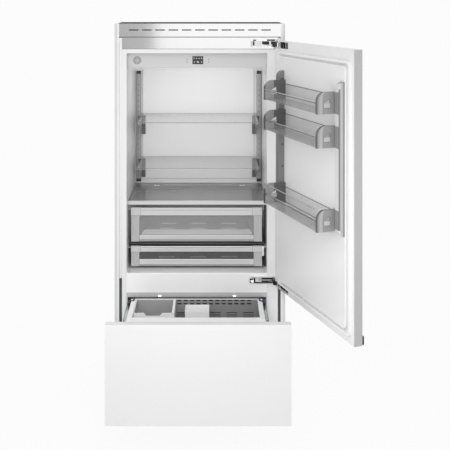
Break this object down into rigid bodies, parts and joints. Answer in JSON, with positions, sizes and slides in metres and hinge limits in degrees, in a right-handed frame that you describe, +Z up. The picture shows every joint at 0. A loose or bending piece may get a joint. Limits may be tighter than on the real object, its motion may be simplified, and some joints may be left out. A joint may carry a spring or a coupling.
{
  "type": "bottom-freezer refrigerator",
  "caption": "Built-in refrigerator with a swinging upper door that carries bins, glass shelves and crisper drawers inside, and a pull-out freezer basket drawer below.",
  "frame": {"origin": "On the floor, under the middle of the cabinet's front plane, where the kick plate's front face meets the floor.", "axes": "X to the right along the front, Y from the front to the back, Z up."},
  "size_m": [1.1875, 1.4964, 2.03],
  "materials": {
    "steel_white": "satin paint",
    "steel_grey": "satin paint",
    "steel_dark": "matt paint",
    "stainless": "brushed",
    "aluminium_trim": "satin",
    "zinc_steel": "zinc plated",
    "copper_tube": "drawn tube",
    "foam": "rigid foam",
    "liner_plastic": "vacuum formed, glossy",
    "grey_plastic": "fine texture",
    "dark_plastic": "matt",
    "display_glass": "glossy",
    "lamp_plastic": "diffusing",
    "clear_plastic": "clear",
    "gasket_rubber": "matt",
    "foot_rubber": "matt",
    "shelf_glass": "polished"
  },
  "bodies": {
    "cabinet": {"air_duct_panel": "liner_plastic", "base_frame": "steel_grey", "cabinet_case": "steel_grey", "cabinet_hinge_leaves": "zinc_steel", "cabinet_slide_rails": "zinc_steel", "compressor": "steel_dark", "condenser_coil": "copper_tube", "condenser_fan_shroud": "steel_grey", "control_display": "display_glass", "control_fascia": "grey_plastic", "crisper_cover_glass": "shelf_glass", "crisper_cover_trim": "aluminium_trim", "drip_pan": "dark_plastic", "evaporator_coil": "copper_tube", "evaporator_cover": "liner_plastic", "freezer_light_bar": "grey_plastic", "freezer_liner": "liner_plastic", "fridge_lamp": "lamp_plastic", "fridge_liner": "liner_plastic", "front_frame": "liner_plastic", "header_panel": "stainless", "insulation_foam": "foam", "kick_plate": "steel_dark", "levelling_feet": "foot_rubber", "lower_shelf": "shelf_glass", "shelf_brackets": "clear_plastic", "shelf_rails": "grey_plastic", "side_trims": "aluminium_trim", "top_cover": "steel_dark", "top_grille": "stainless", "upper_shelf": "shelf_glass"},
    "door": {"bin_end_caps": "grey_plastic", "bin_front_rails": "aluminium_trim", "door_bumper": "dark_plastic", "door_core": "foam", "door_gasket": "gasket_rubber", "door_hinge_leaves": "zinc_steel", "door_liner": "liner_plastic", "door_panel": "steel_white", "door_rails": "liner_plastic", "lower_bin_tray": "clear_plastic", "middle_bin_tray": "clear_plastic", "upper_bin_tray": "clear_plastic"},
    "cabinet_links": {"cabinet_hinge_links": "zinc_steel"},
    "door_links": {"door_hinge_links": "zinc_steel"},
    "drawer": {"drawer_panel": "steel_white", "drawer_core": "foam", "drawer_liner": "liner_plastic", "drawer_gasket": "gasket_rubber", "freezer_basket": "liner_plastic", "ice_bin": "liner_plastic", "scoop_box": "liner_plastic", "drawer_slide_rails": "zinc_steel"},
    "slides": {"middle_slide_rails": "zinc_steel"},
    "upper_crisper": {"upper_crisper_tray": "clear_plastic", "upper_crisper_frame": "aluminium_trim"},
    "lower_crisper": {"lower_crisper_tray": "clear_plastic", "lower_crisper_frame": "aluminium_trim"},
    "evaporator_fan": {"evaporator_fan": "dark_plastic"},
    "condenser_fan": {"condenser_fan": "dark_plastic"}
  },
  "joints": [
    {"name": "door_swing", "type": "hinge", "parent": "cabinet", "child": "door", "pos_m": [0.436, -0.052, 0], "axis": [0, 0, 1], "range_deg": [-109.2, 0]},
    {"name": "cabinet_link_swing", "type": "hinge", "parent": "cabinet", "child": "cabinet_links", "pos_m": [0.393, -0.011, 0], "axis": [0, 0, 1], "range_deg": [-79.5, 0]},
    {"name": "door_link_swing", "type": "hinge", "parent": "door", "child": "door_links", "pos_m": [0.43125, -0.09919, 0], "axis": [0, 0, 1], "range_deg": [0, 142]},
    {"name": "freezer_drawer", "type": "slide", "parent": "cabinet", "child": "drawer", "axis": [0, -1, 0], "range_m": [-0.561, 0]},
    {"name": "middle_slides", "type": "slide", "parent": "cabinet", "child": "slides", "axis": [0, -1, 0], "range_m": [-0.281, 0]},
    {"name": "upper_crisper_slide", "type": "slide", "parent": "cabinet", "child": "upper_crisper", "axis": [0, -1, 0], "range_m": [0, 0.33]},
    {"name": "lower_crisper_slide", "type": "slide", "parent": "cabinet", "child": "lower_crisper", "axis": [0, -1, 0], "range_m": [0, 0.33]},
    {"name": "evaporator_fan_spin", "type": "hinge", "parent": "cabinet", "child": "evaporator_fan", "pos_m": [0.15, 0.43, 0.61], "axis": [0, 0, 1], "continuous": true},
    {"name": "condenser_fan_spin", "type": "hinge", "parent": "cabinet", "child": "condenser_fan", "pos_m": [-0.128, 0.245, 0.098], "axis": [1, 0, 0], "continuous": true}
  ],
  "couplings": [
    {"joint": "cabinet_link_swing", "follows": "door_swing", "ratio": 0.7267},
    {"joint": "door_link_swing", "follows": "door_swing", "ratio": -1.2973},
    {"joint": "middle_slides", "follows": "freezer_drawer", "ratio": 0.5}
  ]
}
